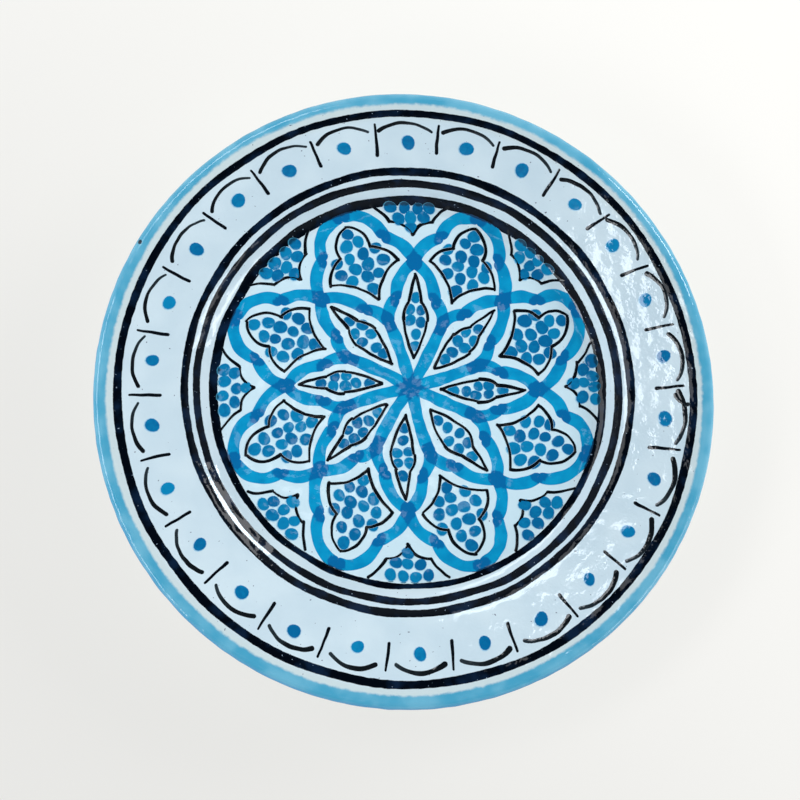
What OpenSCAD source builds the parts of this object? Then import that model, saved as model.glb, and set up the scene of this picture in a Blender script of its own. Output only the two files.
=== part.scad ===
// A wheel-thrown red clay dinner plate: a flat well, a short rising wall, a broad sloping flange
// and a rounded lip, covered in glaze and painted by hand. Each fired layer is its own solid.
// The origin is the centre of the foot ring's resting face, and +Z points up out of the well.

/* [Plate] */
// Outer diameter over the glazed lip
plate_d = 270; // [250:1:290]
// Height of the bare clay well floor above the table
well_z = 13; // [12:0.5:16]
// Radius of the flat part of the well
well_r = 82; // [82:0.5:84]
// Slope of the rising wall round the well, in degrees
wall_slope = 42; // [36:1:46]
// Slope of the flange, in degrees
flange_slope = 22; // [16:1:26]
// Thickness of the clay
clay_t = 5.8; // [5:0.1:6.5]

/* [Foot ring] */
// Radius of the foot ring's outer edge where it rests
foot_r = 76; // [70:1:78]
// Width of the resting face
foot_w = 6; // [4:0.5:8]
// How far each side of the foot leans outwards towards its root
foot_draft = 1; // [0.5:0.25:1.5]
// Height of the bare clay left at the bottom of the foot
bare_h = 1.2; // [0.8:0.1:2]

/* [Glaze and paint] */
// Thickness of the glaze
glaze_t = 0.4; // [0.3:0.05:0.6]
// How far the painted strokes stand out of the glaze
paint_t = 0.2; // [0.1:0.05:0.3]
// Radius on the face where the turquoise lip band begins
lip_band_r = 129.5; // [128.5:0.5:130]
// How far the lip band reaches back under the flange
lip_band_back = 4; // [3:0.5:6]

/* [Painted rings] */
// Radius of the rim ring's middle
rim_ring_r = 124.6; // [124.2:0.2:125.4]
// Radius of the shoulder ring's middle
shoulder_ring_r = 97.4; // [97:0.1:97.8]
// Radius of the middle ring on the rising wall
wall_ring_r = 92.2; // [91.8:0.1:92.6]
// Radius of the ring at the edge of the well
floor_ring_r = 85.6; // [85.5:0.1:86]
// Width of a painted ring
ring_w = 2.9; // [2:0.1:3.2]

/* [Rim pattern] */
// How far the first arch is turned from the X axis, in degrees
rim_turn = 8.8; // [0:0.2:13.8]
// Number of arches round the flange
rim_count = 26; // [20:1:28]
// Radius of the middle of each bar
bar_r = 114.2; // [112:0.2:115]
// Length of each bar
bar_l = 12.8; // [9:0.2:14]
// Width of each bar
bar_w = 1.3; // [1:0.1:2]
// Radius where each arch has its feet
arch_foot_r = 117; // [116:0.2:118]
// Rise of each arch from its feet to its crown
arch_rise = 4.3; // [3:0.1:4.6]
// Width of the arch stroke
arch_w = 1.5; // [1.2:0.1:2.2]
// Radius of the ring of dots under the arches
rim_dot_r = 112.7; // [111:0.2:114]
// Diameter of each rim dot
rim_dot_d = 5.2; // [4:0.1:5.6]

/* [Rosette] */
// Number of petals
petals = 8; // [8:1:8]
// Radius of the petal tips
tip_r = 81.2; // [80.4:0.2:81.2]
// Width of the petal ribbons
ribbon_w = 5.2; // [4:0.1:5.6]
// Width of the thin black outlines
outline_w = 1.1; // [0.8:0.1:1.4]
// Diameter of the dots that fill the cells
dot_d = 4.6; // [3.6:0.1:4.7]
// Sideways spacing of the dots
dot_gap = 5.7; // [5.4:0.1:6]

/* [Hidden] */
$fn = 96;
around_fn = 180;

CLAY = "#b5704a";
WHITE = "#d5e4ee";
TURQUOISE = "#52aed2";
BLACK = "#0b1220";
BLUE = "#0a86c4";
AZURE = "#0a9bd0";

outer_r = plate_d / 2;
wall_bend_r = 12;         // concave bend from the floor into the wall
shoulder_bend_r = 16;     // convex bend from the wall into the flange
wall_run = 4.5;           // level length of the wall's straight part
lip_r = clay_t / 2;       // the lip is a full half round
bend_step = 4;            // degrees between the points of a bend
run_on = 1.06;            // how far a brush stroke overruns its stops

// The face of the clay is one line of spots [radius, height, slope], from the axis to the lip.
wall_start = [
    well_r + wall_bend_r * sin(wall_slope),
    well_z + wall_bend_r * (1 - cos(wall_slope))
];
wall_end = wall_start + wall_run * [1, tan(wall_slope)];
shoulder_c = wall_end + shoulder_bend_r * [sin(wall_slope), -cos(wall_slope)];
flange_start = shoulder_c + shoulder_bend_r * [-sin(flange_slope), cos(flange_slope)];
lip_x = outer_r - glaze_t - lip_r;
flange_end_r = lip_x - lip_r * sin(flange_slope);
flange_end = [
    flange_end_r,
    flange_start.y + (flange_end_r - flange_start.x) * tan(flange_slope)
];
lip_c = [lip_x, flange_end.y - lip_r * cos(flange_slope)];

face = concat(
    [[0, well_z, 0]],
    [for (a = [0:bend_step:wall_slope - bend_step / 2])
        [well_r + wall_bend_r * sin(a), well_z + wall_bend_r * (1 - cos(a)), a]],
    [[wall_start.x, wall_start.y, wall_slope]],
    [for (a = [wall_slope:-bend_step:flange_slope + bend_step / 2])
        [shoulder_c.x - shoulder_bend_r * sin(a), shoulder_c.y + shoulder_bend_r * cos(a), a]],
    [[flange_start.x, flange_start.y, flange_slope]],
    [[flange_end.x, flange_end.y, flange_slope]]
);
face_heights = [for (p = face) [p[0], p[1]]];
face_slopes = [for (p = face) [p[0], p[2]]];

// The foot ring's own lines, and where the glaze stops on its two sides
recess_z = well_z - clay_t;
foot_top_r = foot_r + foot_draft;
foot_in_r = foot_r - foot_w;
foot_in_top_r = foot_in_r - foot_draft;
skin_foot_r = foot_r + foot_draft * bare_h / recess_z;
skin_foot_in_r = foot_in_r - foot_draft * bare_h / recess_z;

// The spot on the face at a radius
function spot(r) = [r, lookup(r, face_heights), lookup(r, face_slopes)];

// The spots of the face between two radii
function stretch(r0, r1) = concat(
    [spot(r0)],
    [for (p = face) if (p[0] > r0 + 0.1 && p[0] < r1 - 0.1) p],
    [spot(r1)]
);

// Points at a distance above a line of spots, measured square to it
function lifted(line, d) = [for (p = line) [p[0] - d * sin(p[2]), p[1] + d * cos(p[2])]];

function reversed(list) = [for (i = [len(list) - 1:-1:0]) list[i]];

// Points of the half-round lip, from the face over the edge to the back, at a distance outside the clay
function lip_points(d) = [for (a = [flange_slope:-9:flange_slope - 180])
    lip_c + (lip_r + d) * [-sin(a), cos(a)]];

// The back of the clay from the foot to the lip, parallel to the face
function back_points(r0, d) = lifted(stretch(r0, flange_end.x), -clay_t - d);

// Turns a closed outline of [radius, height] points about the plate's axis
module thrown(points) {
    rotate_extrude($fn = around_fn) polygon(points);
}

// A skin on the face between two radii, from one height above the clay to another
module face_skin(r0, r1, low, high) {
    line = stretch(r0, r1);
    thrown(concat(lifted(line, low), reversed(lifted(line, high))));
}

module clay_body() {
    color(CLAY)
    thrown(concat(
        lifted(face, 0),
        lip_points(0),
        reversed(back_points(foot_top_r + 2, 0)),
        [[foot_top_r, recess_z], [foot_r, 0], [foot_in_r, 0], [foot_in_top_r, recess_z], [0, recess_z]]
    ));
}

module face_glaze() {
    color(WHITE) face_skin(0, lip_band_r, 0, glaze_t);
}

// Clear turquoise glaze over the lip, from the face round the edge to the back
module lip_band() {
    front = stretch(lip_band_r, flange_end.x);
    back_r = flange_end.x - lip_band_back;
    back = reversed(stretch(back_r, flange_end.x));
    color(TURQUOISE)
    thrown(concat(
        lifted(front, glaze_t), lip_points(glaze_t), lifted(back, -clay_t - glaze_t),
        reversed(lifted(back, -clay_t)), reversed(lip_points(0)), reversed(lifted(front, 0))
    ));
}

// Glaze on the back, from the lip band down the outside of the foot ring to the bare clay
module back_glaze() {
    back = stretch(foot_top_r + 2, flange_end.x - lip_band_back);
    color(WHITE)
    thrown(concat(
        [[skin_foot_r, bare_h], [foot_top_r, recess_z]],
        lifted(back, -clay_t),
        reversed(lifted(back, -clay_t - glaze_t)),
        [[foot_top_r + glaze_t, recess_z - glaze_t], [skin_foot_r + glaze_t, bare_h]]
    ));
}

// Glaze inside the foot ring
module recess_glaze() {
    color(WHITE)
    thrown([
        [0, recess_z], [foot_in_top_r, recess_z], [skin_foot_in_r, bare_h],
        [skin_foot_in_r - glaze_t, bare_h], [foot_in_top_r - glaze_t, recess_z - glaze_t],
        [0, recess_z - glaze_t]
    ]);
}

// A ring banded on the turning wheel
module painted_ring(r) {
    color(BLACK) face_skin(r - ring_w / 2, r + ring_w / 2, glaze_t, glaze_t + paint_t);
}

module rim_ring() {
    painted_ring(rim_ring_r);
}

module shoulder_ring() {
    painted_ring(shoulder_ring_r);
}

module wall_ring() {
    painted_ring(wall_ring_r);
}

module floor_ring() {
    painted_ring(floor_ring_r);
}

// Points of a round arc from a to b that bows to the right of its travel
function arc_points(a, b, bow, n) = let (
    along = (b - a) / norm(b - a),
    side = [along.y, -along.x],
    half = 2 * atan(2 * bow / norm(b - a)),
    r = norm(b - a) / 2 / sin(half),
    c = (a + b) / 2 + side * (bow - r)
) [for (i = [0:n]) let (t = run_on * half * (2 * i / n - 1)) c + r * (side * cos(t) + along * sin(t))];

// One brush stroke of even width along an arc
module stroke(a, b, bow, w, n = 8) {
    path = arc_points(a, b, bow, n);
    function heading(i) = path[min(i + 1, n)] - path[max(i - 1, 0)];
    function square_to(i) = [-heading(i).y, heading(i).x] / norm(heading(i));
    polygon(concat(
        [for (i = [0:n]) path[i] + square_to(i) * w / 2],
        [for (i = [n:-1:0]) path[i] - square_to(i) * w / 2]
    ));
}

// Strokes through a list of [x, y, bow] stops, each drawn again across the axis
module both_sides(stops, w) {
    for (turned = [0, 1])
        mirror([0, turned, 0])
            for (i = [0:len(stops) - 2])
                stroke([stops[i].x, stops[i].y], [stops[i + 1].x, stops[i + 1].y], stops[i][2], w);
}

function polar(r, a) = r * [cos(a), sin(a)];

// Everything on the flange is cut to the thin sloping skin that the paint makes there
module on_flange() {
    intersection() {
        face_skin(104, 123, glaze_t, glaze_t + paint_t);
        linear_extrude(height = 60) children();
    }
}

// Everything in the well lies flat on the glaze
module on_well() {
    translate([0, 0, well_z + glaze_t]) linear_extrude(height = paint_t) children();
}

module round_the_rim(half_turns) {
    for (i = [0:rim_count - 1])
        rotate([0, 0, rim_turn + (i + half_turns / 2) * 360 / rim_count]) children();
}

module round_the_well(half_turns) {
    for (i = [0:petals - 1])
        rotate([0, 0, (i + half_turns / 2) * 360 / petals]) children();
}

module rim_bars() {
    color(BLACK) on_flange() round_the_rim(1) translate([bar_r, 0]) square([bar_l, bar_w], center = true);
}

module rim_arches() {
    foot_angle = 0.39 * 360 / rim_count;
    foot = polar(arch_foot_r, foot_angle);
    color(BLACK) on_flange() round_the_rim(0) stroke([foot.x, -foot.y], foot, arch_rise, arch_w, 14);
}

module rim_dots() {
    color(BLUE) on_flange() round_the_rim(0) translate([rim_dot_r, 0]) circle(d = rim_dot_d);
}

// Petals: each side runs from the tip through two cusps and two crossings to a spoke of the star
half_petal = 180 / petals;
tip_bend = 13.8;                              // depth of the rounded tip
outer_cusp = [tip_r - tip_bend, 14.1];        // cusp beside the tip
outer_cross = polar(55.4, half_petal);        // where neighbouring petals cross
inner_cusp = polar(39.8, half_petal + 12.1);  // cusp beside the leaf
inner_cross = polar(29.9, 2 * half_petal);    // where the sides close on a spoke

module petal_ribbons() {
    stops = [
        [tip_r, 0, 4.3],
        [outer_cusp.x, outer_cusp.y, 2.4],
        [outer_cross.x, outer_cross.y, 2.4],
        [inner_cusp.x, inner_cusp.y, 1.6],
        [inner_cross.x, inner_cross.y, 0]
    ];
    color(AZURE)
    on_well() {
        round_the_well(1) both_sides(stops, ribbon_w);
        round_the_well(1) translate([0, -ribbon_w / 2]) square([inner_cross.x * sqrt(2) + 1, ribbon_w]);
    }
}

// Leaves: narrow lenses between the spokes, each with a pinched neck and a pointed end
module leaf_outlines() {
    stops = [[13, 0, -4.2], [37, 2.4, -0.6], [47.6, 0, 0]];
    color(BLACK) on_well() round_the_well(0) both_sides(stops, outline_w);
}

// Rows of dots square to the axis, each row given as [radius, how many]
module dot_rows(rows, gap) {
    for (row = rows)
        for (i = [0:row[1] - 1])
            translate([row[0], (i - (row[1] - 1) / 2) * gap]) circle(d = dot_d);
}

module leaf_dots() {
    rows = [[18.6, 1], [23.4, 1], [27.8, 2], [32.2, 1]];
    color(BLUE) on_well() round_the_well(0) dot_rows(rows, dot_d + 0.2);
}

// Shields: pointed towards the centre, with a horn at each side and a three-lobed head
module shield_outlines() {
    stops = [[41.5, 0, 2.1], [54.5, 14.2, -1.6], [64.3, 7.2, -2.6], [75.6, 0, 0]];
    color(BLACK) on_well() round_the_well(1) both_sides(stops, outline_w);
}

module shield_dots() {
    rows = [[47.6, 1], [52.4, 3], [57, 4], [61.8, 3], [66.6, 2], [71.2, 1]];
    color(BLUE) on_well() round_the_well(1) dot_rows(rows, dot_gap);
}

// Spandrels: open to the floor ring, with a point towards the centre
module spandrel_outlines() {
    stops = [[68, 0, 1.8], [73.6, 9.7, 0.7], [80.2, 17.4, 0]];
    color(BLACK) on_well() round_the_well(0) both_sides(stops, outline_w);
}

module spandrel_dots() {
    rows = [[71.2, 1], [76, 3], [80.6, 4]];
    color(BLUE) on_well() round_the_well(0) dot_rows(rows, dot_gap);
}

clay_body();
face_glaze();
back_glaze();
recess_glaze();
lip_band();
rim_ring();
shoulder_ring();
wall_ring();
floor_ring();
rim_bars();
rim_arches();
rim_dots();
petal_ribbons();
leaf_outlines();
leaf_dots();
shield_outlines();
shield_dots();
spandrel_outlines();
spandrel_dots();
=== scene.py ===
# %% [markdown]
# # A hand painted plate
#
# The object is a plate thrown on a potter's wheel from red clay. It was coated with a white glaze,
# painted with a brush, and fired until glaze and paint had melted into one glassy skin. This lesson
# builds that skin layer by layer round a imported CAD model, which fixes the plate's size and section. The
# painting is laid out here, because the CAD pattern is set out evenly and a brush's isn't, so a stroke
# may lie up to about 15 mm from the even place that the CAD model gives it.
#
# The plate could be modelled by spinning a curve, with the painting as a picture laid over it. Here
# each brush stroke is a thin solid of its own instead, because a stroke has an end, a thickness and a
# gloss, and it stays sharp from any distance.

import bmesh
import bpy
import numpy as np
from mathutils import Matrix, Vector


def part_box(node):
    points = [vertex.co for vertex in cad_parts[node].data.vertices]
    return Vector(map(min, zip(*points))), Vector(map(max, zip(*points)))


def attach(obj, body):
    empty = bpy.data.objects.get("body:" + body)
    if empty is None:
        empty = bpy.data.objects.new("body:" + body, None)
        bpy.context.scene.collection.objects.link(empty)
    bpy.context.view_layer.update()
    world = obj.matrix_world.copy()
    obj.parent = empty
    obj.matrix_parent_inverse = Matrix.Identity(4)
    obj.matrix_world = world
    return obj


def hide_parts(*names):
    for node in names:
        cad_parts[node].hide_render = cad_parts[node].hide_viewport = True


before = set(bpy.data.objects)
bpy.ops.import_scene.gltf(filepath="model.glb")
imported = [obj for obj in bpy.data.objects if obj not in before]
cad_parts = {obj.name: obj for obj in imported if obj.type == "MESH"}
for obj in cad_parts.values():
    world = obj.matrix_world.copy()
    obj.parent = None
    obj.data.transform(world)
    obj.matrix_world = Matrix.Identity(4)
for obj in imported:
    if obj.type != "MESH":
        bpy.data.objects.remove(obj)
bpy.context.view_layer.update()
MM = 0.001

# %% [markdown]
# ## The section of the plate
#
# A turned pot is one outline carried round an axis. The outline of this plate is straights joined by
# round bends, so the easiest description is a walk: go so far, then turn so many degrees on such a
# radius. The walk goes out along the well, up the wall, over the lip, back under the flange, round
# the foot ring and into the recess. Any place on the plate is then a distance along the walk, an
# angle about the axis, and a height off the clay.

# %% Driving sizes in millimetres, and the outline as a walk
FLOOR_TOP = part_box("petal_ribbons")[0].z / MM
OUTER_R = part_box("lip_band")[1].x / MM
CLAY_T = 5.8
GLAZE_T = 0.4
WELL_R = 82.0
WALL_SLOPE = np.radians(42.0)
FLANGE_SLOPE = np.radians(22.0)
WALL_BEND = 12.0
SHOULDER_BEND = 16.0
WALL_RUN = 4.5
LIP_R = CLAY_T / 2
FOOT_TOP_R = 77.0
FOOT_LEAN = 1.0
FOOT_W = 6.0
ROOT_BEND = 1.2
FOOT_EDGE = 0.5

floor_z = FLOOR_TOP - GLAZE_T
foot_h = floor_z - CLAY_T
foot_turn = np.arctan2(foot_h, FOOT_LEAN)
foot_side = np.hypot(foot_h, FOOT_LEAN) - (ROOT_BEND + FOOT_EDGE) * np.tan(foot_turn / 2)
recess_r = FOOT_TOP_R - FOOT_W - 2 * FOOT_LEAN
wall = WALL_RUN / np.cos(WALL_SLOPE)
flange_from = WELL_R + WALL_BEND * np.sin(WALL_SLOPE) + WALL_RUN
flange_from += SHOULDER_BEND * (np.sin(WALL_SLOPE) - np.sin(FLANGE_SLOPE))
flange_to = OUTER_R - GLAZE_T - LIP_R * (1 + np.sin(FLANGE_SLOPE))
flange = (flange_to - flange_from) / np.cos(FLANGE_SLOPE)
shoulder = WALL_SLOPE - FLANGE_SLOPE

# Each step is a name, a straight, and then a turn to the left in radians on a radius.
WALK = [
    ("well", WELL_R, WALL_SLOPE, WALL_BEND),
    ("wall", wall, -shoulder, SHOULDER_BEND),
    ("flange", flange, -np.pi, LIP_R),
    ("back_flange", flange, shoulder, SHOULDER_BEND - CLAY_T),
    ("back_wall", wall, -WALL_SLOPE, WALL_BEND + CLAY_T),
    ("back_well", WELL_R - FOOT_TOP_R - ROOT_BEND * np.tan(foot_turn / 2), foot_turn, ROOT_BEND),
    ("foot_outside", foot_side, -foot_turn, FOOT_EDGE),
    ("foot_face", FOOT_W - 2 * FOOT_EDGE * np.tan(foot_turn / 2), -foot_turn, FOOT_EDGE),
    ("foot_inside", foot_side, foot_turn, ROOT_BEND),
    ("recess", recess_r - ROOT_BEND * np.tan(foot_turn / 2), 0.0, 0.0),
]


def walk_outline(steps, spacing=0.05):
    """Slope is a broken line against distance: level on a straight, ramping on a bend.
    Radius adds up cos(slope) and height adds up sin(slope) along the way."""
    knots, slopes, starts = [0.0], [0.0], {}
    for name, straight, turn, radius in steps:
        starts[name] = knots[-1]
        knots += [knots[-1] + straight, knots[-1] + straight + radius * abs(turn)]
        slopes += [slopes[-1], slopes[-1] + turn]
    distance = np.linspace(0.0, knots[-1], int(knots[-1] / spacing))
    slope = np.interp(distance, knots, slopes)
    middle = (slope[1:] + slope[:-1]) / 2
    step = np.diff(distance)
    radius = np.append(0.0, np.cumsum(step * np.cos(middle)))
    height = floor_z + np.append(0.0, np.cumsum(step * np.sin(middle)))
    return distance, radius, height, slope, starts


walk_s, walk_r, walk_z, walk_slope, START = walk_outline(WALK)
LIP_START = START["flange"] + flange
END = walk_s[-1]
print("walk of", round(END, 1), "mm ends at radius", round(walk_r[-1], 3), "height", round(walk_z[-1], 3))

# %% [markdown]
# ## A hand made surface
#
# A thrown plate is never quite flat or quite round: the lip dips a little, the wheel leaves faint
# rings, and the fired glaze sets with soft ripples like orange peel. The ripples matter most, because
# they break up the reflection of a window. They could be left to bump alone, but real shape also
# shows at the edges, so the broad ones are modelled here as a sum of many small waves in random
# directions. Every layer asks this same cell for its place, so paint lies on the glaze and the glaze
# on the clay everywhere.

# %% Wobble, ripples and the place of any point
hand = np.random.default_rng(26)
WAVES = 48
wave_turn = hand.uniform(0, 2 * np.pi, WAVES)
wave_number = 2 * np.pi / hand.uniform(6.0, 16.0, WAVES)
wave_phase = hand.uniform(0, 2 * np.pi, WAVES)
RIPPLE = 0.055
RING_MARK = 0.010
RING_SPACING = 7.0
LIP_DIP = 0.3


def glaze_ripple(s, around):
    """Sum of WAVES cosines over the plan rolled out flat, scaled to RIPPLE, plus faint wheel rings.
    It dies away at the middle of the underside, where the rolled-out plan would close up."""
    x, y = (s * np.cos(around))[..., None], (s * np.sin(around))[..., None]
    waves = np.cos(wave_number * (x * np.cos(wave_turn) + y * np.sin(wave_turn)) + wave_phase)
    total = RIPPLE * waves.sum(-1) * np.sqrt(2 / WAVES)
    rings = RING_MARK * np.cos(2 * np.pi * s / RING_SPACING + 0.8 * np.cos(around))
    return (total + rings) * np.clip((END - s) / 40.0, 0, 1)


def lip_wobble(r, around):
    """The flange rises and dips twice round, growing from nothing at the foot to LIP_DIP at the lip."""
    out = np.clip((r - FOOT_TOP_R) / (OUTER_R - FOOT_TOP_R), 0, 1)
    return LIP_DIP * out**2 * (0.6 * np.cos(2 * around - 0.7) + 0.4 * np.cos(3 * around + 1.9))


def place(s, around, height):
    """x, y, z of a point: walk s along the clay outline, turn around the axis, rise off the clay."""
    s, around, height = np.broadcast_arrays(s, around, height)
    slope = np.interp(s, walk_s, walk_slope)
    rise = height + np.where(height > 0, glaze_ripple(s, around), 0.0)
    r = np.interp(s, walk_s, walk_r) - rise * np.sin(slope)
    z = np.interp(s, walk_s, walk_z) + rise * np.cos(slope)
    return np.stack([r * np.cos(around), r * np.sin(around), z + lip_wobble(r, around)], -1)


on_face = walk_s < LIP_START
face_r = (walk_r - GLAZE_T * np.sin(walk_slope))[on_face]
face_s = walk_s[on_face]


def on_plate(x, y, height):
    """A plan position x, y brought up to the glazed face, and then height above it."""
    return place(np.interp(np.hypot(x, y), face_r, face_s), np.arctan2(y, x), GLAZE_T + height)


print("ripple", np.round(glaze_ripple(np.linspace(0, 130, 9), 1.0), 3))

# %% [markdown]
# ## From numbers to a mesh
#
# Every piece is one or more closed shells, each a grid of points: rows along it and columns round
# it. A grid whose first and last row each shrink to a point closes at two poles, like a globe. A grid
# whose last row joins its first closes like a tyre. One function makes both, welds the poles, turns
# the faces outwards, hides the CAD node that it stands for and hangs the piece from the plate's root.

# %% Shells and pieces
CREASE = np.radians(50)


def shell_faces(count, rows, cols, tyre):
    """Corner numbers of each four-sided face: a point, its right-hand one, and the two in the row after."""
    at = np.arange(count * rows * cols).reshape(count, rows, cols)
    here, there = (at, np.roll(at, -1, 1)) if tyre else (at[:, :-1], at[:, 1:])
    return np.stack([here, np.roll(here, -1, 2), np.roll(there, -1, 2), there], -1).reshape(-1, 4)


def make_piece(name, node, slot, material, grid, tyre=False, **marks):
    """Put a grid of shells in millimetres into one mesh, with per-point marks for its material."""
    grid = grid.reshape((-1,) + grid.shape[-3:])
    mesh = bpy.data.meshes.new(name)
    mesh.from_pydata((grid.reshape(-1, 3) * MM).tolist(), [], shell_faces(*grid.shape[:3], tyre).tolist())
    for mark, values in marks.items():
        layer = mesh.attributes.new(mark, "FLOAT", "POINT")
        values = np.broadcast_to(np.reshape(values, grid.shape[:3]), grid.shape[:3])
        layer.data.foreach_set("value", values.ravel().astype(np.float32))
    shape = bmesh.new()
    shape.from_mesh(mesh)
    bmesh.ops.remove_doubles(shape, verts=shape.verts, dist=0.0001 * MM)
    bmesh.ops.recalc_face_normals(shape, faces=shape.faces)
    shape.to_mesh(mesh)
    shape.free()
    mesh.shade_smooth()
    mesh.set_sharp_from_angle(angle=CREASE)
    mesh.materials.append(material)
    piece = bpy.data.objects.new(name, mesh)
    bpy.context.scene.collection.objects.link(piece)
    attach(piece, "root")
    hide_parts(node)
    print(f"{name}: {len(mesh.vertices)} points, {len(mesh.polygons)} faces")
    return piece


print("a shell of 3 rows and 4 columns has", len(shell_faces(1, 3, 4, False)), "faces")

# %% [markdown]
# ## Colours and nodes
#
# Colours are written as sRGB hex, the way a paint program shows them, and turned to the linear values
# that the renderer adds up. A material is a small graph, so one function adds a node, sets its
# options, and fills or links its inputs.

# %% Colour and node helpers
def srgb(code):
    """A hex colour as linear red, green, blue and alpha, by the sRGB curve."""
    parts = np.array([int(code[i : i + 2], 16) for i in (1, 3, 5)]) / 255
    linear = np.where(parts <= 0.04045, parts / 12.92, ((parts + 0.055) / 1.055) ** 2.4)
    return (*linear.tolist(), 1.0)


def add(tree, kind, settings=(), inputs=()):
    """Add one node; an input is a plain value, or another node's output to be linked."""
    made = tree.nodes.new(kind)
    for option, value in dict(settings).items():
        setattr(made, option, value)
    for socket, value in dict(inputs).items():
        if isinstance(value, bpy.types.NodeSocket):
            tree.links.new(value, made.inputs[socket])
        else:
            made.inputs[socket].default_value = value
    return made


def per_metre(size_mm):
    """A pattern scale for Object coordinates, from the size of its features in millimetres."""
    return 1 / (size_mm * MM)


print("#808080 is", round(srgb("#808080")[0], 3), "in linear light")

# %% [markdown]
# ## Glaze
#
# The glaze is glass on clay: it has the index of glass, a very low roughness, and a colour that comes
# from the white slip under it. Everything painted on the plate shares this gloss, since paint and
# glaze melt together in the kiln. So one recipe makes every fired finish, and each finish only says
# what colour lies where. Edges of a stroke fade into the same white that lies beside them, as pigment
# bleeds a little into molten glaze.

# %% The shared glaze recipe
GLASS_IOR = 1.5
GLOSS = 0.05
PEEL_MM = 3.4
PEEL_DEPTH_MM = 0.2
PIT_MM = 0.9


def mix(tree, amount, first, second):
    """Blend two colours by an amount from 0 to 1."""
    inputs = {0: amount, 6: first, 7: second}
    return add(tree, "ShaderNodeMix", {"data_type": "RGBA"}, inputs).outputs[2]


def ease(tree, value, low, high):
    """0 below low, 1 above high, and a smooth step between; low may be the larger."""
    inputs = {"Value": value, "From Min": low, "From Max": high}
    return add(tree, "ShaderNodeMapRange", {"interpolation_type": "SMOOTHSTEP"}, inputs).outputs[0]


def mottle(tree, where, size_mm, detail=2.0):
    """Cloudy grey noise whose blotches are about size_mm across."""
    inputs = {"Vector": where, "Scale": per_metre(size_mm), "Detail": detail}
    return add(tree, "ShaderNodeTexNoise", {}, inputs).outputs["Fac"]


def mark_of(tree, name):
    """The value that make_piece stored at each point under this name."""
    return add(tree, "ShaderNodeAttribute", {"attribute_name": name}).outputs["Fac"]


def sums(tree, operation, first, second):
    """One sum on two values, such as ADD or MULTIPLY."""
    return add(tree, "ShaderNodeMath", {"operation": operation}, {0: first, 1: second}).outputs[0]


def from_axis(tree, where):
    """Distance from the plate's axis, in metres."""
    flat = add(tree, "ShaderNodeVectorMath", {"operation": "MULTIPLY"}, {0: where, 1: (1, 1, 0)})
    return add(tree, "ShaderNodeVectorMath", {"operation": "LENGTH"}, {0: flat.outputs[0]}).outputs["Value"]


def white_glaze_colour(tree, where):
    """Bluish white, a little bluer in the well, faintly green near the lip, with kiln specks."""
    radius = from_axis(tree, where)
    cloud = ease(tree, mottle(tree, where, 24.0), 0.35, 0.7)
    body = mix(tree, cloud, srgb("#D2E3E8"), srgb("#DCEBEE"))
    body = mix(tree, ease(tree, radius, 86 * MM, 80 * MM), body, srgb("#D6EEF4"))
    body = mix(tree, ease(tree, radius, 123 * MM, 127 * MM), body, srgb("#D4E1DF"))
    speck = ease(tree, mottle(tree, where, 1.1, 0.0), 0.83, 0.87)
    return mix(tree, speck, body, srgb("#6D7480"))


def fired_glaze(name, paint, shine=0.5):
    """A glass-clear gloss over whatever colour paint(tree, where) gives, with a fine orange peel.
    Shine is 0.5 for glass of GLASS_IOR and less where thick pigment dulls the surface."""
    material = bpy.data.materials.new(name)
    material.use_nodes = True
    tree = material.node_tree
    tree.nodes.clear()
    where = add(tree, "ShaderNodeTexCoord").outputs["Object"]
    colour = paint(tree, where)
    peel = mottle(tree, where, PEEL_MM)
    pits = sums(tree, "MULTIPLY", mottle(tree, where, PIT_MM, 1.0), 0.12)
    depth = sums(tree, "MULTIPLY", ease(tree, from_axis(tree, where), 84 * MM, 104 * MM), 0.7)
    depth = sums(tree, "MULTIPLY", sums(tree, "ADD", depth, 0.3), PEEL_DEPTH_MM * MM)
    bump_inputs = {"Height": sums(tree, "ADD", peel, pits), "Distance": depth, "Strength": 1.0}
    bump = add(tree, "ShaderNodeBump", {}, bump_inputs).outputs[0]
    shader_inputs = {"Base Color": colour, "Roughness": GLOSS, "IOR": GLASS_IOR, "Normal": bump}
    shader_inputs["Specular IOR Level"] = shine
    shader = add(tree, "ShaderNodeBsdfPrincipled", {}, shader_inputs).outputs[0]
    add(tree, "ShaderNodeOutputMaterial", {}, {"Surface": shader})
    return material


white_glaze = fired_glaze("tin_white_glaze_dipped", white_glaze_colour)
print(white_glaze.name, "has", len(white_glaze.node_tree.nodes), "nodes")

# %% [markdown]
# ## The clay
#
# Red earthenware shows only on the unglazed face of the foot ring, where the plate stood in the kiln.
# It is matt and a little gritty, with the fine grooves that the turning tool left. The solid itself
# is the whole walk carried round the axis, with its first and last point on the axis.

# %% Red clay body
AROUND = 480
turn = np.linspace(0, 2 * np.pi, AROUND, endpoint=False)
GROOVE_MM = 0.7


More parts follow.
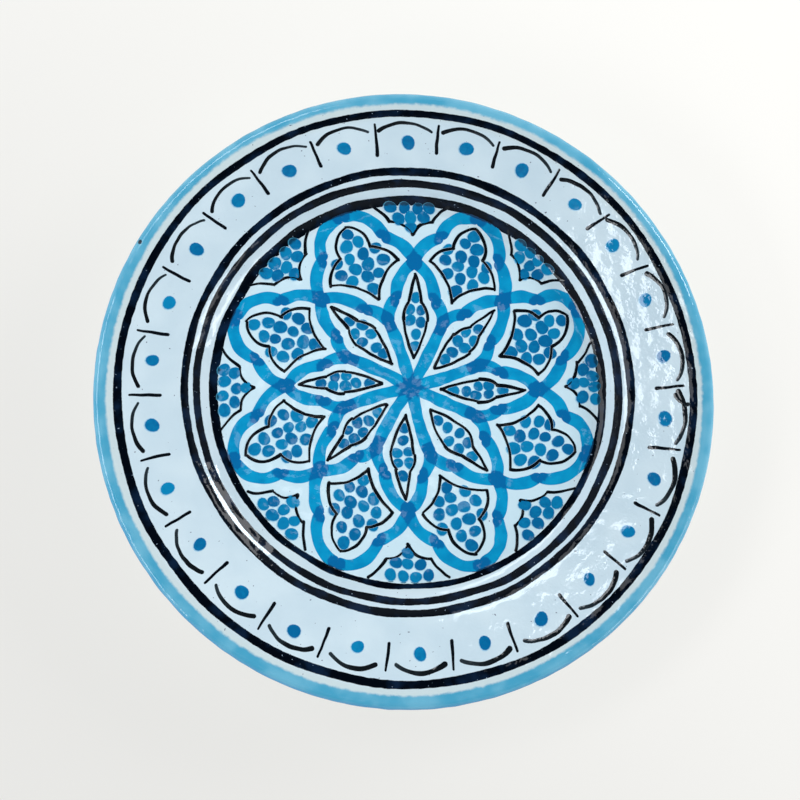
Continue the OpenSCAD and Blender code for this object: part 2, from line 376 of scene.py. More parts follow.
def red_earthenware():
    """Bare fired clay: warm red brown with paler grit, no gloss, grooves from the turning tool."""
    material = bpy.data.materials.new("red_earthenware_turned")
    material.use_nodes = True
    tree = material.node_tree
    tree.nodes.clear()
    where = add(tree, "ShaderNodeTexCoord").outputs["Object"]
    clay = mix(tree, mottle(tree, where, 9.0, 4.0), srgb("#A65F3E"), srgb("#C98560"))
    grit = ease(tree, mottle(tree, where, 0.6, 1.0), 0.66, 0.74)
    clay = mix(tree, grit, clay, srgb("#DDB08E"))
    band_inputs = {"Vector": where, "Scale": per_metre(GROOVE_MM) / 20, "Distortion": 0.6, "Detail": 2.0}
    grooves = add(tree, "ShaderNodeTexWave", {"wave_type": "RINGS", "rings_direction": "Z"}, band_inputs)
    height = sums(tree, "ADD", grooves.outputs["Fac"], mottle(tree, where, 0.5, 3.0))
    bump = add(tree, "ShaderNodeBump", {}, {"Height": height, "Distance": 0.05 * MM}).outputs[0]
    inputs = {"Base Color": clay, "Roughness": 0.9, "IOR": 1.45, "Normal": bump}
    shader = add(tree, "ShaderNodeBsdfPrincipled", {}, inputs).outputs[0]
    add(tree, "ShaderNodeOutputMaterial", {}, {"Surface": shader})
    return material


def walk_stops(start, end, spacing):
    """Distances from start to end about spacing apart, with every bend of the outline included."""
    bends = np.concatenate([[START[k], START[k] + step] for k, step, _, _ in WALK])
    even = np.linspace(start, end, max(2, int(round((end - start) / spacing)) + 1))
    inside = bends[(bends > start) & (bends < end)]
    stops = np.unique(np.round(np.concatenate([even, inside]), 4))
    return stops[np.append(True, np.diff(stops) > 0.05)]


clay_stops = np.concatenate([
    walk_stops(0, LIP_START, 4.0),
    walk_stops(LIP_START + 0.5, START["back_flange"], 0.8),
    walk_stops(START["back_flange"] + 3, START["back_well"], 3.0),
    walk_stops(START["back_well"] + 0.3, START["recess"], 0.4),
    walk_stops(START["recess"] + 3, END, 8.0),
])
clay_grid = place(clay_stops[:, None], turn[None, :], 0.0)
make_piece("thrown_clay", "clay_body", "red_clay", red_earthenware(), clay_grid)

# %% [markdown]
# ## White glaze
#
# The glaze covers the face, the back and the inside of the foot ring, each a skin 0.4 mm thick with a
# closed edge. It stops short of the foot, because glaze that touched the shelf would weld the plate to
# the kiln. Where it stops it runs a little unevenly, which a slow wave round the plate gives.

# %% Three white skins and the turquoise lip
SUNK = -0.05


def slow_wave(around, size, seed):
    """A closed wave round the plate: five cosines of 2 to 23 turns, added up to about size."""
    dice = np.random.default_rng(seed)
    counts = dice.integers(2, 24, 5)[:, None]
    phases = dice.uniform(0, 2 * np.pi, 5)[:, None]
    return size * np.cos(counts * np.ravel(around) + phases).mean(0) * 1.6


def skin(starts, ends, rows, thick=GLAZE_T, edge_rows=2):
    """A skin between two lines round the plate: out along its top row by row, back along its bottom.
    starts and ends are distances along the walk at each angle."""
    share = np.linspace(0, 1, rows)[:, None]
    top = starts + (ends - starts) * share
    low = starts + (ends - starts) * share[:: -edge_rows]
    grid_s = np.concatenate([top, low])
    height = np.concatenate([np.full(rows, thick), np.full(len(low), SUNK)])[:, None]
    return place(grid_s, turn[None, :], height), grid_s


band_slip = 0.6 * np.cos(turn) + 1.5 * np.sin(turn)
band_start = np.interp(128.6, face_r, face_s) + band_slip + slow_wave(turn, 0.35, 3)
band_end = START["back_flange"] + 4.3 + slow_wave(turn, 0.8, 4)
foot_stop = START["foot_face"] - 1.2
recess_stop = START["foot_inside"] + 1.2

face_grid, _ = skin(np.zeros(AROUND), band_start, 104)
make_piece("white_face", "face_glaze", "white_glaze", white_glaze, face_grid)
back_grid, _ = skin(band_end, foot_stop + slow_wave(turn, 0.25, 5), 90)
make_piece("white_back", "back_glaze", "white_glaze", white_glaze, back_grid, tyre=True)
recess_grid, _ = skin(recess_stop + slow_wave(turn, 0.25, 6), np.full(AROUND, END), 60)
make_piece("white_recess", "recess_glaze", "white_glaze", white_glaze, recess_grid)

# Where the lip's glaze is chipped, in metres
LIP_CHIP = (-0.1128, 0.0713, 0.0355)


def turquoise_colour(tree, where):
    """Clear blue-green glass, thin and pale where it bleeds into the white, deeper on the lip's edge,
    with one dark chip at LIP_CHIP."""
    reach = mark_of(tree, "reach_mm")
    ragged = sums(tree, "MULTIPLY", mottle(tree, where, 2.5, 3.0), 1.6)
    soft = sums(tree, "SUBTRACT", reach, ragged)
    blue = mix(tree, ease(tree, mottle(tree, where, 14.0), 0.35, 0.65), srgb("#4CA6C4"), srgb("#6FB8D0"))
    blue = mix(tree, ease(tree, reach, 5.6, 7.6), blue, srgb("#2E8DBC"))
    blue = mix(tree, ease(tree, soft, -0.6, 0.9), white_glaze_colour(tree, where), blue)
    away = add(tree, "ShaderNodeVectorMath", {"operation": "DISTANCE"}, {0: where, 1: LIP_CHIP})
    return mix(tree, ease(tree, away.outputs["Value"], 1.3 * MM, 0.8 * MM), blue, srgb("#1D2A33"))


turquoise = fired_glaze("turquoise_glaze_brushed", turquoise_colour)
lip_grid, lip_s = skin(band_start, band_end, 40, edge_rows=1)
lip_reach = np.minimum(lip_s - band_start, band_end - lip_s + 1.0)
make_piece("turquoise_lip", "lip_band", "turquoise_glaze", turquoise, lip_grid, tyre=True, reach_mm=lip_reach)

# %% [markdown]
# ## Banded rings
#
# The painter holds a loaded brush still while the plate turns under it. The ring comes out nearly
# round, but thick where the brush was wet, ragged where it dragged, and off the axis by as much as the
# plate sat off the wheel's middle. Each ring is a low dome of paint, a tyre-shaped shell around its
# own centre, brought up onto the glazed face.

# %% Black rings
LIFT = 0.03
ROOT = -0.08
ACROSS = np.linspace(-1, 1, 9)
UNDER = np.linspace(1, -1, 5)
section_across = np.append(ACROSS, UNDER)
RING_COLS = 720
ring_turn = np.linspace(0, 2 * np.pi, RING_COLS, endpoint=False)

# name: CAD node, radius, width, how far its centre lies off the axis, extra width and at what angle
RINGS = {
    "rim_band": ("rim_ring", 125.2, 3.5, (1.0, 1.8), 0.3, -98),
    "shoulder_band": ("shoulder_ring", 98.0, 3.4, (1.6, 3.7), 0.25, 45),
    "wall_band": ("wall_ring", 93.0, 3.3, (1.2, 3.2), 0.5, 45),
    "floor_band": ("floor_ring", 86.1, 3.8, (1.2, 2.4), 1.0, 95),
}


def section_height(lift, dome):
    """Height of each point of a stroke's section: a dome over its top, and ROOT all along beneath.
    The underside has points of its own, so that it can follow a hollow surface."""
    return np.append(lift + dome * (1 - ACROSS**2) ** 2, np.full(len(UNDER), ROOT))


def band_colour(tree, where):
    """Blue-black brush banding, dense in the middle, with pinholes, and navy in places: partly thin paint,
    partly a painted reflection of the pale room.
    """
    inset = mark_of(tree, "inset_mm")
    # thin marks random navy patches: partly thin paint, partly a painted reflection of the pale room on the
    # black
    thin = ease(tree, mottle(tree, where, 9.0), 0.45, 0.72)
    black = mix(tree, thin, srgb("#01060F"), srgb("#0E2138"))
    black = mix(tree, ease(tree, mottle(tree, where, 0.8, 0.0), 0.82, 0.86), black, srgb("#8FA0AE"))
    ragged = sums(tree, "MULTIPLY", mottle(tree, where, 1.2, 3.0), 0.3)
    cover = ease(tree, sums(tree, "SUBTRACT", inset, ragged), -0.2, 0.0)
    return mix(tree, cover, white_glaze_colour(tree, where), black)


black_band = fired_glaze("manganese_black_banding", band_colour, shine=0.12)


def ring_grid(radius, width, slip, swell, swell_at, seed):
    """Rows across the stroke, columns round it: radius plus across times half the width."""
    half = width / 2 + swell / 2 * np.cos(ring_turn - np.radians(swell_at))
    half = half + slow_wave(ring_turn, 0.16, seed) + slow_wave(ring_turn * 7, 0.08, seed + 1)
    middle = radius + slow_wave(ring_turn, 0.25, seed + 2)
    rho = middle + section_across[:, None] * half
    x, y = slip[0] + rho * np.cos(ring_turn), slip[1] + rho * np.sin(ring_turn)
    height = section_height(LIFT, 0.05)[:, None]
    inset = (1 - np.abs(section_across))[:, None] * half
    return on_plate(x, y, height), inset


for seed, (name, (node, *sizes)) in enumerate(RINGS.items()):
    grid, inset = ring_grid(*sizes, 40 + 5 * seed)
    make_piece(name, node, "black_band", black_band, grid, tyre=True, inset_mm=inset)

# %% [markdown]
# ## Brush strokes
#
# A brush stroke is a path, a width and two rounded ends. All strokes of one kind are worked out
# together: arcs from a list of starts and ends, a slight shake of the hand, a little more or less
# pressure, and a domed section carried along. The end rows shrink to a point, so each stroke is a
# closed solid.

# %% Arcs and strokes
CAP_STEPS = np.radians([0, 25, 50, 72, 90])
SHAKE = 0.14
PRESSURE = 0.07


def polar(radius, degrees):
    """Plan points at a radius and an angle."""
    return np.stack([radius * np.cos(np.radians(degrees)), radius * np.sin(np.radians(degrees))], -1)


def strokes(start, end, bow, head, tail, run_on, middle, seed):
    """Arcs from start to end that bow to the right of travel, run_on beyond both stops.
    The half width goes from head to tail, with round ends. Gives centre line, side way, half width
    and how far each row lies inside the round ends."""
    dice = np.random.default_rng(seed)
    span = end - start
    chord = np.linalg.norm(span, axis=-1, keepdims=True)
    along = span / chord
    side = np.stack([along[:, 1], -along[:, 0]], -1)
    bow = np.where(np.abs(bow) < 0.01, 0.01, bow)[:, None]
    half_angle = 2 * np.arctan(2 * bow / chord)
    radius = chord / 2 / np.sin(half_angle)
    centre = (start + end) / 2 + side * (bow - radius)
    length = 2 * half_angle * radius + 2 * run_on
    cap_in = head * (1 - np.cos(CAP_STEPS))
    cap_out = tail * (1 - np.cos(CAP_STEPS[::-1]))
    share = np.linspace(0, 1, middle + 2)[1:-1]
    body = head + (length - head - tail) * share
    first = np.broadcast_to(cap_in, (len(start), len(CAP_STEPS)))
    distance = np.concatenate([first, body, length - cap_out], 1)
    angle = half_angle * (2 * (distance - run_on) / (length - 2 * run_on) - 1)
    out = side[:, None] * np.cos(angle)[..., None] + along[:, None] * np.sin(angle)[..., None]
    phase = dice.uniform(0, 2 * np.pi, (3, len(start), 1))
    pace = dice.uniform(0.25, 0.6, (3, len(start), 1))
    shake = SHAKE * (np.cos(pace[0] * distance + phase[0]) + np.cos(2 * pace[1] * distance + phase[1])) / 2
    line = centre[:, None] + radius[:, None] * out + out * shake[..., None]
    full = head + (tail - head) * distance / length
    full = full * (1 + PRESSURE * np.cos(pace[2] * distance + phase[2]))
    near = np.maximum(1 - distance / head, 1 - (length - distance) / tail).clip(0, 1)
    return line, out, full, near


def stroke_grid(line, out, full, near, lift=LIFT, dome=0.05):
    """Carry the domed section along the line: side way times across times half width, ends to a point."""
    half = full * np.sqrt(1 - near**2)
    plan = line[:, :, None] + out[:, :, None] * (half[..., None] * section_across)[..., None]
    height = section_height(lift, dome) * np.ones(half.shape)[..., None]
    height[:, [0, -1]] = ROOT / 2
    inset = full[..., None] - np.hypot(half[..., None] * section_across, (full * near)[..., None])
    return on_plate(plan[..., 0], plan[..., 1], height), plan, inset


print("a stroke's section has", len(section_across), "points")

# %% [markdown]
# ## The rim pattern
#
# Round the flange the painter set 26 short bars, each pulled inwards so that its inner end is the
# heavier, and between them an arched stroke over a single dot. The arches were painted thinly, so
# they fired grey at their thin end. The bars could share one shape, but each is shaken a little by its
# own random draw, because no two are alike.

# %% Bars and arches
RIM_COUNT = 26
RIM_STEP = 360 / RIM_COUNT
RIM_TURN = 8.5
CROWD, CROWD_AT = 3.0, 325.0
RIM_SLIP = np.array([1.9, 1.9])
BAR_IN, BAR_OUT = 107.8, 120.6
ARCH_FOOT_R, ARCH_RISE, ARCH_HALF = 117.6, 4.2, 5.6
HEAVY, HEAVY_AT = 0.2, -45.0
RIM_DOT_R, RIM_DOT = 112.7, 6.1

EVEN_LOAD = 0.8

jitter = np.random.default_rng(11)


def spaced(angle):
    """Even spacing spoilt once round: ahead by CROWD degrees at CROWD_AT, and behind opposite it."""
    return angle + CROWD * np.cos(np.radians(angle - CROWD_AT))


arch_at = spaced(RIM_TURN + RIM_STEP * np.arange(RIM_COUNT))
bar_at = spaced(RIM_TURN + RIM_STEP * (np.arange(RIM_COUNT) + 0.5))


def ground(tree, where):
    """What lies under a stroke: the white glaze, or a black ring where the on_black mark says so."""
    ringed = ease(tree, mark_of(tree, "on_black"), 0.4, 0.6)
    return mix(tree, ringed, white_glaze_colour(tree, where), srgb("#01060F"))


def line_colour(dense, thin):
    """A brush line: the dense colour where much paint lies, the thin one where a mark says little."""

    def paint(tree, where):
        inset = mark_of(tree, "inset_mm")
        load = sums(tree, "ADD", mark_of(tree, "load"), sums(tree, "MULTIPLY", mottle(tree, where, 2.5), 0.5))
        ink = mix(tree, ease(tree, load, 0.35, 0.95), srgb(thin), srgb(dense))
        return mix(tree, ease(tree, inset, 0.0, 0.12), ground(tree, where), ink)

    return paint


line_black = fired_glaze("black_line_brushed", line_colour("#02070E", "#101A26"), shine=0.35)
thin_black = fired_glaze("thin_black_brushed", line_colour("#0B1013", "#2B353A"), shine=0.4)

drift = jitter.normal(0, 0.35, (2, RIM_COUNT))
bar_from = RIM_SLIP + polar(BAR_IN + jitter.normal(0, 0.5, RIM_COUNT), bar_at + drift[0])
bar_to = RIM_SLIP + polar(BAR_OUT + jitter.normal(0, 0.4, RIM_COUNT), bar_at + drift[1])
bars = strokes(bar_from, bar_to, jitter.normal(0, 0.12, RIM_COUNT), 0.85, 0.6, 0.3, 10, 12)
grid, _, inset = stroke_grid(*bars)
even = np.full(inset.shape, EVEN_LOAD)
make_piece("rim_bar_strokes", "rim_bars", "black_line", line_black, grid, inset_mm=inset, load=even)

drift = jitter.normal(0, 0.3, (2, RIM_COUNT))
arch_from = RIM_SLIP + polar(ARCH_FOOT_R + jitter.normal(0, 0.3, RIM_COUNT), arch_at + ARCH_HALF + drift[0])
arch_to = RIM_SLIP + polar(ARCH_FOOT_R + jitter.normal(0, 0.4, RIM_COUNT), arch_at - ARCH_HALF + drift[1])
arch_bow = -ARCH_RISE + jitter.normal(0, 0.2, RIM_COUNT)
# One arch ran: three drips lead from its heavy end into the rim ring
arch_from = np.concatenate([arch_from, [[118.6, 7.4], [119.6, 4.6], [121.6, 3.0]]])
arch_to = np.concatenate([arch_to, [[120.6, 4.2], [123.0, 2.0], [124.6, 3.4]]])
arch_bow = np.append(arch_bow, [0.3, -0.5, 0.4])
load_at = np.degrees(np.arctan2(arch_from[:, 1], arch_from[:, 0]))
weight = 1 + HEAVY * np.cos(np.radians(load_at - HEAVY_AT))[:, None]
arches = strokes(arch_from, arch_to, arch_bow, 1.1 * weight, 0.72 * weight, 0.3, 26, 13)
grid, _, inset = stroke_grid(*arches)
fade = np.linspace(1, 0.15, grid.shape[1])[:, None] * np.ones(inset.shape)
make_piece("rim_arch_strokes", "rim_arches", "thin_black", thin_black, grid, inset_mm=inset, load=fade)

# %% [markdown]
# ## Dots
#
# A dot is a touch of the brush tip: a flat drop of blue, never quite round, with paler colour bled out
# on one side. Each is a low dome of 56 faces. There are over two hundred, so the domes are worked out
# as one array, and a mark on each point says how far out it lies, so the material can bleed its edge.

# %% Dots and the blue finishes
DOT_COLS = 14
DOT_RINGS = np.array([0.0, 1.0, 1.0, 0.74, 0.0])
DOT_RISE = np.array([ROOT, ROOT, LIFT, LIFT + 0.045, LIFT + 0.06])
dot_turn = np.linspace(0, 2 * np.pi, DOT_COLS, endpoint=False)
BLEED = 0.12


def dot_grid(centres, diameter, seed, lift=0.0):
    """Each dot's rim is its radius times 1 plus a two-fold and a three-fold wave, a bit wider one way."""
    dice = np.random.default_rng(seed)
    phase = dice.uniform(0, 2 * np.pi, (3, len(centres), 1))
    size = diameter / 2 * dice.normal(1, 0.05, (len(centres), 1))
    blob = 1 + 0.08 * np.cos(2 * dot_turn + phase[0]) + 0.03 * np.cos(3 * dot_turn + phase[1])
    bleed = 0.5 + 0.5 * np.cos(dot_turn - 3.9 + 0.5 * np.cos(phase[2]))
    rho = (size * blob * (1 + BLEED * bleed))[:, None] * DOT_RINGS[:, None]
    x = centres[:, 0, None, None] + rho * np.cos(dot_turn)
    y = centres[:, 1, None, None] + rho * np.sin(dot_turn)
    height = (DOT_RISE + np.where(DOT_RISE > 0, lift, 0))[:, None]
    reach = np.broadcast_to(DOT_RINGS[:, None], rho.shape)
    tone = np.broadcast_to(dice.uniform(0, 1, (len(centres), 1, 1)), rho.shape)
    bleed = np.broadcast_to(bleed[:, None], rho.shape)
    return on_plate(x, y, height), np.stack([x, y], -1), reach, tone, bleed


def dot_colour(tree, where):
    """Strong blue, darker in the middle, cyan where it bled; dark teal where it lies on a black ring."""
    reach, tone = mark_of(tree, "reach"), mark_of(tree, "tone")
    cloud = sums(tree, "ADD", tone, mottle(tree, where, 1.8))
    blue = mix(tree, ease(tree, cloud, 0.4, 1.5), srgb("#0688B8"), srgb("#00689C"))
    blue = mix(tree, ease(tree, mark_of(tree, "on_black"), 0.2, 0.8), blue, srgb("#0B3F58"))
    worn = sums(tree, "ADD", reach, sums(tree, "MULTIPLY", mark_of(tree, "bleed"), 0.1))
    pale = mix(tree, 0.5, ground(tree, where), srgb("#59B9DC"))
    edge = mix(tree, ease(tree, worn, 0.98, 0.9), pale, blue)
    return mix(tree, ease(tree, reach, 1.0, 0.95), ground(tree, where), edge)


dot_blue = fired_glaze("cobalt_blue_dots", dot_colour)


def on_ring(plan, ring):
    """1 where a plan point lies over a banded ring, easing to 0 just past its edge."""
    _, radius, width, slip, *_ = RINGS[ring]
    off = np.abs(np.hypot(plan[..., 0] - slip[0], plan[..., 1] - slip[1]) - radius) - width / 2
    return np.clip(0.5 - off / 0.5, 0, 1)


def make_dots(name, node, centres, diameter, seed, lift=0.0):
    """Dots of one kind as one piece."""
    grid, plan, reach, tone, bleed = dot_grid(centres, diameter, seed, lift)
    black = on_ring(plan, "floor_band")
    make_piece(name, node, "blue_dots", dot_blue, grid, reach=reach, tone=tone, bleed=bleed, on_black=black)


rim_dot_at = arch_at + jitter.normal(0, 0.35, RIM_COUNT)
rim_dot_places = RIM_SLIP + polar(RIM_DOT_R + jitter.normal(0, 0.5, RIM_COUNT), rim_dot_at)
make_dots("rim_dot_marks", "rim_dots", rim_dot_places, RIM_DOT, 21)

# %% [markdown]
# ## The rosette
#
# In the well, eight petals interlace round a star of eight spokes. A compass would set them out
# exactly, but this rosette was drawn by eye: its middle lies off the axis and each petal leans a
# little. So it is worked out in its ideal form first, and one function then leans and shifts every
# point, which keeps strokes, outlines and dots together.

# %% The rosette's layout
PETALS = 8
PETAL_AXES = 22.5 + 45 * np.arange(PETALS)
LEAF_AXES = 45.0 * np.arange(PETALS)
SLIP_IN, SLIP_OUT = np.array([3.2, 6.2]), np.array([1.5, 3.2])
# How far the drawing leans counter-clockwise at each axis, in degrees, at three distances from the middle
LEAN_AT = (30.0, 55.0, 83.0)
LEAN_IN = (-4.0, -3.5, -3.5, -2.0, -5.0, -7.5, -7.0, -1.0)
LEAN_HALF_WAY = (-0.5, -1.5, -1.5, 1.0, 0.0, -2.5, -1.5, -2.0)
LEAN_OUT = (5.0, 0.5, -2.0, -1.0, -0.5, 0.0, 1.0, 4.5)


def hand_laid(points):
    """Turn each point about the middle by the lean at its angle, shared out between the three distances
    and carried on inwards, and shift it by a slip that eases from SLIP_IN to SLIP_OUT."""
    radius = np.hypot(points[..., 0], points[..., 1])
    angle = np.degrees(np.arctan2(points[..., 1], points[..., 0])) % 360
    inner = np.interp(angle, PETAL_AXES, LEAN_IN, period=360)
    half_way = np.interp(angle, LEAF_AXES, LEAN_HALF_WAY, period=360)
    outer = np.interp(angle, PETAL_AXES, LEAN_OUT, period=360)
    inwards = np.clip((LEAN_AT[1] - radius) / (LEAN_AT[1] - LEAN_AT[0]), 0, 1.7)
    outwards = np.clip((radius - LEAN_AT[1]) / (LEAN_AT[2] - LEAN_AT[1]), 0, 1)
    lean = half_way + (inner - half_way) * inwards + (outer - half_way) * outwards
    return SLIP_IN + (SLIP_OUT - SLIP_IN) * outwards[..., None] + polar(radius, angle + lean)


print("the middle of the rosette lies at", hand_laid(np.zeros((1, 2)))[0].round(1))


def turned(points, axes):
    """Copies of points, one set for each axis in degrees."""
    a = np.radians(axes)[:, None]
    x, y = points[:, 0], points[:, 1]
    return np.stack([x * np.cos(a) - y * np.sin(a), x * np.sin(a) + y * np.cos(a)], -1).reshape(-1, 2)


def both_sides(stops, axes):
    """Starts, ends and bows of the strokes through [x, y, bow] stops, and mirrored, at each axis."""
    stops = np.array(stops, float)
    starts, ends, bows = stops[:-1, :2], stops[1:, :2], stops[:-1, 2]
    flip = np.array([1.0, -1.0])
    starts, ends = np.concatenate([starts, starts * flip]), np.concatenate([ends, ends * flip])
    bows = np.tile(np.concatenate([bows, -bows]), len(axes))
    return turned(starts, axes), turned(ends, axes), bows


# %% [markdown]
# ## Ribbons
#
# The petals are broad strokes of thin azure. Each curve between two cusps is its own stroke, and where
# two strokes meet, two layers of paint lie over each other and fire darker. That dark overlap is what
# makes the painting look painted, so each point counts how many other strokes cover it.

# %% Azure ribbons
RIBBON_HALF = 2.8
TIP = [83.0, 0.0]
OUTER_CUSP = [67.4, 14.1]
OUTER_CROSS = polar(55.4, 22.5).tolist()
INNER_CUSP = polar(39.8, 34.6).tolist()
INNER_CROSS = polar(29.9, 45.0).tolist()
petal_stops = [TIP + [4.5], OUTER_CUSP + [2.4], OUTER_CROSS + [2.4], INNER_CUSP + [1.6], INNER_CROSS + [0.0]]


def ribbon_colour(tree, where):
    """Translucent azure: clear blue in one layer, deeper in two, with cloudy pools and pale dry spots."""
    layers = sums(tree, "ADD", mark_of(tree, "layers"), mark_of(tree, "tone"))
    cloud = ease(tree, mottle(tree, where, 6.0, 3.0), 0.25, 0.8)
    blue = mix(tree, cloud, srgb("#06A2D0"), srgb("#0089BC"))
    blue = mix(tree, ease(tree, layers, 0.15, 1.0), blue, srgb("#006CA6"))
    dry = ease(tree, mottle(tree, where, 1.6, 3.0), 0.7, 0.8)
    blue = mix(tree, sums(tree, "MULTIPLY", dry, 0.4), blue, srgb("#5CC0E0"))
    blue = mix(tree, ease(tree, mark_of(tree, "on_black"), 0.2, 0.8), blue, srgb("#0A3A5C"))
    return mix(tree, ease(tree, mark_of(tree, "inset_mm"), 0.0, 0.2), ground(tree, where), blue)


azure = fired_glaze("azure_wash_brushed", ribbon_colour)


def layers_over(plan, line, reach):
    """For each plan point, how many strokes' centre lines pass nearer than reach, less its own one."""
    count = np.zeros(plan.shape[:-1])
    for path in line:
        gap = np.linalg.norm(plan[..., None, :] - path, axis=-1).min(-1)
        count += np.clip(0.5 + (reach - gap) / 0.5, 0, 1)
    return np.clip(count - 1, 0, 2)


starts, ends, bows = both_sides(petal_stops, PETAL_AXES)
spoke_in, spoke_out = polar(0.5, PETAL_AXES), polar(31.0, PETAL_AXES)
starts, ends = np.concatenate([starts, spoke_in]), np.concatenate([ends, spoke_out])
bows = np.append(bows, np.full(PETALS, 0.15))
half = np.full((len(starts), 1), RIBBON_HALF)
line, out, full, near = strokes(starts, ends, bows, half, half, 1.3, 20, 31)
line = hand_laid(line)
grid, plan, inset = stroke_grid(line, out, full, near)
layers = layers_over(plan, line, RIBBON_HALF)
tone = np.random.default_rng(32).uniform(-0.12, 0.2, (len(starts), 1, 1)) * np.ones(inset.shape)
black = on_ring(plan, "floor_band")
marks = {"inset_mm": inset, "layers": layers, "tone": tone, "on_black": black}
make_piece("azure_petals", "petal_ribbons", "azure_ribbon", azure, grid, **marks)

# %% [markdown]
# ## Cells
#
# Between the ribbons lie three kinds of cell, each outlined with a thin brush and filled with rows of
# dots: narrow leaves between the spokes, shields in the petal ends, and spandrels against the ring.
# The dots went on first, so the outlines ride just above them. Outlines overrun their corners, as a
# quick hand leaves them.

# %% Outlines and their dots
LINE_HALF = 0.78
leaf_stops = [[13.0, 0, -0.7], [29.5, 5.2, -0.8], [37.5, 2.9, -0.3], [50.1, 0, 0]]
shield_stops = [[41.5, 0, 2.2], [54.6, 15.3, -1.7], [64.8, 7.1, -2.9], [77.9, 0, 0]]
spandrel_stops = [[68.7, 0, 1.9], [75.0, 9.7, 0.7], [82.7, 18.0, 0]]


def make_outline(name, node, stops, axes, seed, run_on):
    """Both sides of a cell at each axis, drawn as thin strokes that overrun their stops."""
    starts, ends, bows = both_sides(stops, axes)
    dice = np.random.default_rng(seed)
    starts, ends = starts + dice.normal(0, 0.18, starts.shape), ends + dice.normal(0, 0.18, ends.shape)
    half = LINE_HALF * dice.uniform(0.85, 1.15, (len(starts), 1))
    line, out, full, near = strokes(starts, ends, bows, half, half * 0.85, run_on, 14, seed)
    grid, plan, inset = stroke_grid(hand_laid(line), out, full, near, lift=0.1, dome=0.04)
    black, even = on_ring(plan, "floor_band"), np.full(inset.shape, EVEN_LOAD)
    make_piece(name, node, "black_line", line_black, grid, inset_mm=inset, load=even, on_black=black)


def dot_rows(rows, gap, axes, seed):
    """Dot centres in rows square to each axis, each row given as [radius, how many], shaken by hand."""
    spots = [[u, (i - (count - 1) / 2) * gap] for u, count in rows for i in range(count)]
    spots = turned(np.array(spots), axes)
    return hand_laid(spots + np.random.default_rng(seed).normal(0, 0.35, spots.shape))


make_outline("leaf_lines", "leaf_outlines", leaf_stops, LEAF_AXES, 51, 0.5)
make_outline("shield_lines", "shield_outlines", shield_stops, PETAL_AXES, 52, 0.7)
make_outline("spandrel_lines", "spandrel_outlines", spandrel_stops, LEAF_AXES, 53, 0.6)

leaf_rows = [[18.8, 1], [24.0, 1], [29.2, 2], [34.4, 2], [40.0, 1]]
shield_rows = [[47.0, 1], [52.2, 3], [57.6, 4], [63.2, 4], [68.8, 2], [74.0, 1]]
spandrel_rows = [[72.4, 1], [77.0, 3], [81.8, 4]]
make_dots("leaf_dot_marks", "leaf_dots", dot_rows(leaf_rows, 5.0, LEAF_AXES, 61), 5.2, 64)
make_dots("shield_dot_marks", "shield_dots", dot_rows(shield_rows, 6.1, PETAL_AXES, 62), 5.8, 65)
make_dots("spandrel_dot_marks", "spandrel_dots", dot_rows(spandrel_rows, 5.9, LEAF_AXES, 63), 5.8, 66, 0.06)

# %% [markdown]
# ## Studio
#
# Gloss only shows what it reflects, so the light is planned by reflection. Seen from above, the right
# of the sloping flange mirrors a place about 45 degrees up on the left, so two broad windows stand on
# that side. The well mirrors the ceiling, which is left dark so that blacks stay black, but for one
# small lamp. Two low fills on the right light the shaded wall, and low pale light from all round the
# horizon does the rest. From behind and low down, the well mirrors a fill and its painting is hidden.

# %% Floor, sky and lights
GLOW_LEAST, GLOW_MORE, GLOW_REACH = 0.625, 0.22, 0.45
FLOOR_HALF = 6.0
FLOOR_GAP = 0.0002


def pale_floor():
    """A matt white table top, evenly lit from within, a little brighter towards the upper right."""
    material = bpy.data.materials.new("matt_white_board")
    material.use_nodes = True
    tree = material.node_tree
    where = add(tree, "ShaderNodeTexCoord").outputs["Object"]
    along = add(tree, "ShaderNodeVectorMath", {"operation": "DOT_PRODUCT"}, {0: where, 1: (1, 1, 0)})
    glow = ease(tree, along.outputs["Value"], -GLOW_REACH, GLOW_REACH)
    shader = tree.nodes["Principled BSDF"]
    shader.inputs["Base Color"].default_value = srgb("#75736F")
    shader.inputs["Roughness"].default_value = 0.9
    shader.inputs["Emission Color"].default_value = srgb("#FEFDF9")
    strength = sums(tree, "ADD", sums(tree, "MULTIPLY", glow, GLOW_MORE), GLOW_LEAST)
    tree.links.new(strength, shader.inputs["Emission Strength"])
    return material


corners = np.array([[-1, -1, 0], [1, -1, 0], [1, 1, 0], [-1, 1, 0]]) * FLOOR_HALF
corners[:, 2] = -FLOOR_GAP
floor_mesh = bpy.data.meshes.new("table_top")
floor_mesh.from_pydata(corners.tolist(), [], [[0, 1, 2, 3]])
floor_mesh.materials.append(pale_floor())
floor = bpy.data.objects.new("table_top", floor_mesh)
bpy.context.scene.collection.objects.link(floor)

world = bpy.data.worlds.new("pale_room")
bpy.context.scene.world = world
world.use_nodes = True
sky = world.node_tree
sky.nodes.clear()
direction = add(sky, "ShaderNodeTexCoord").outputs["Generated"]
rise = add(sky, "ShaderNodeSeparateXYZ", {}, {0: direction}).outputs["Z"]
room = mix(sky, ease(sky, rise, 0.35, 0.75), (0.72, 0.81, 0.93, 1.0), (0.08, 0.1, 0.13, 1.0))
background = add(sky, "ShaderNodeBackground", {}, {"Color": room, "Strength": 0.95})
add(sky, "ShaderNodeOutputWorld", {}, {"Surface": background.outputs[0]})


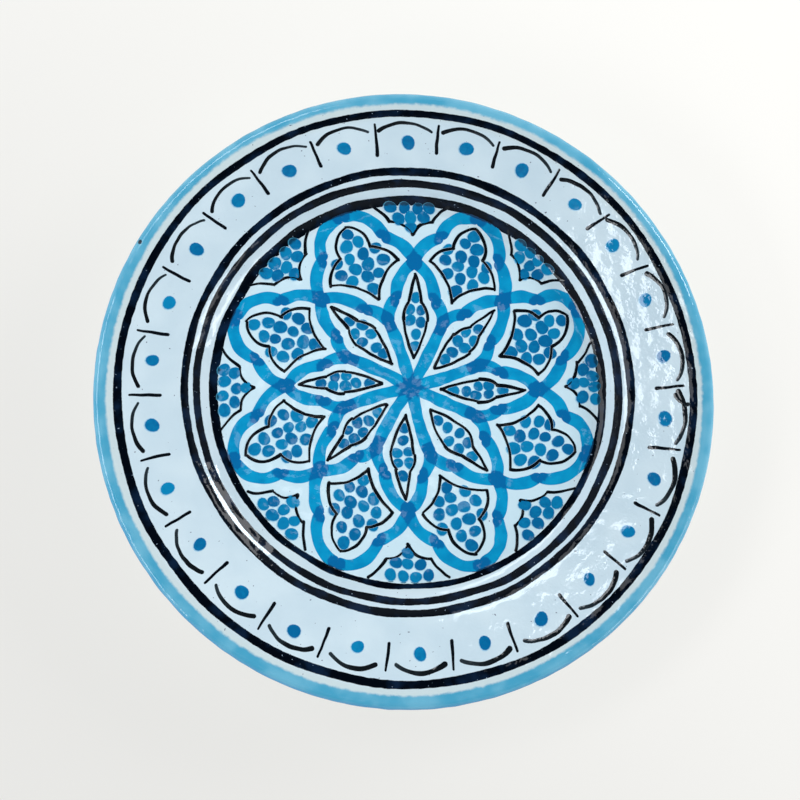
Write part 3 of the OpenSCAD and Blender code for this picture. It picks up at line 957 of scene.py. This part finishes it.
def soft_light(name, azimuth, elevation, distance, width, height, watts, colour):
    """A rectangle of light that faces the plate from a direction given in degrees."""
    a, e = np.radians([azimuth, elevation])
    away = Vector((np.cos(a) * np.cos(e), np.sin(a) * np.cos(e), np.sin(e)))
    lamp = bpy.data.lights.new(name, "AREA")
    lamp.shape, lamp.size, lamp.size_y = "RECTANGLE", width, height
    lamp.energy, lamp.color = watts, srgb(colour)[:3]
    holder = bpy.data.objects.new(name, lamp)
    holder.location = away * distance
    holder.rotation_euler = away.to_track_quat("Z", "Y").to_euler()
    bpy.context.scene.collection.objects.link(holder)


soft_light("window_left", 198, 40, 1.5, 1.2, 0.36, 10.0, "#F6FAFF")
soft_light("window_far_left", 138, 48, 1.5, 0.9, 0.32, 6.4, "#F6FAFF")
soft_light("fill_far_right", 30, 24, 1.6, 0.8, 0.35, 12.0, "#FBFCFF")
soft_light("fill_near_right", -42, 20, 1.6, 0.8, 0.3, 5.0, "#FBFCFF")
soft_light("ceiling_lamp", 236, 79, 1.5, 0.12, 0.12, 0.08, "#FFFFFF")
print("lights:", [lamp.name for lamp in bpy.data.lights])

# %% Camera over the plate
VIEW_FROM = 60
VIEW_TILT = 9.5
CAMERA_AWAY = 1.1
LENS_MM = 114.5
lip_centre = Vector((0, 0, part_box("lip_band")[1].z))
aim = lip_centre + Vector((0.0001, 0.0037, 0))
a, t = np.radians([VIEW_FROM, VIEW_TILT])
back = Vector((np.sin(t) * np.cos(a), np.sin(t) * np.sin(a), np.cos(t)))
camera_data = bpy.data.cameras.new("camera")
camera_data.lens = LENS_MM
camera = bpy.data.objects.new("camera", camera_data)
right = (-back).cross(Vector((0, 1, 0))).normalized()
up = right.cross(-back)
turned_to_plate = Matrix((right, up, back)).transposed().to_4x4()
camera.matrix_world = Matrix.Translation(aim + CAMERA_AWAY * back) @ turned_to_plate
bpy.context.scene.collection.objects.link(camera)
bpy.context.scene.camera = camera
bpy.context.scene.view_settings.view_transform = "Standard"
bpy.context.scene.view_settings.look = "None"
print("camera", CAMERA_AWAY, "m off the lip, tilted", VIEW_TILT, "degrees")
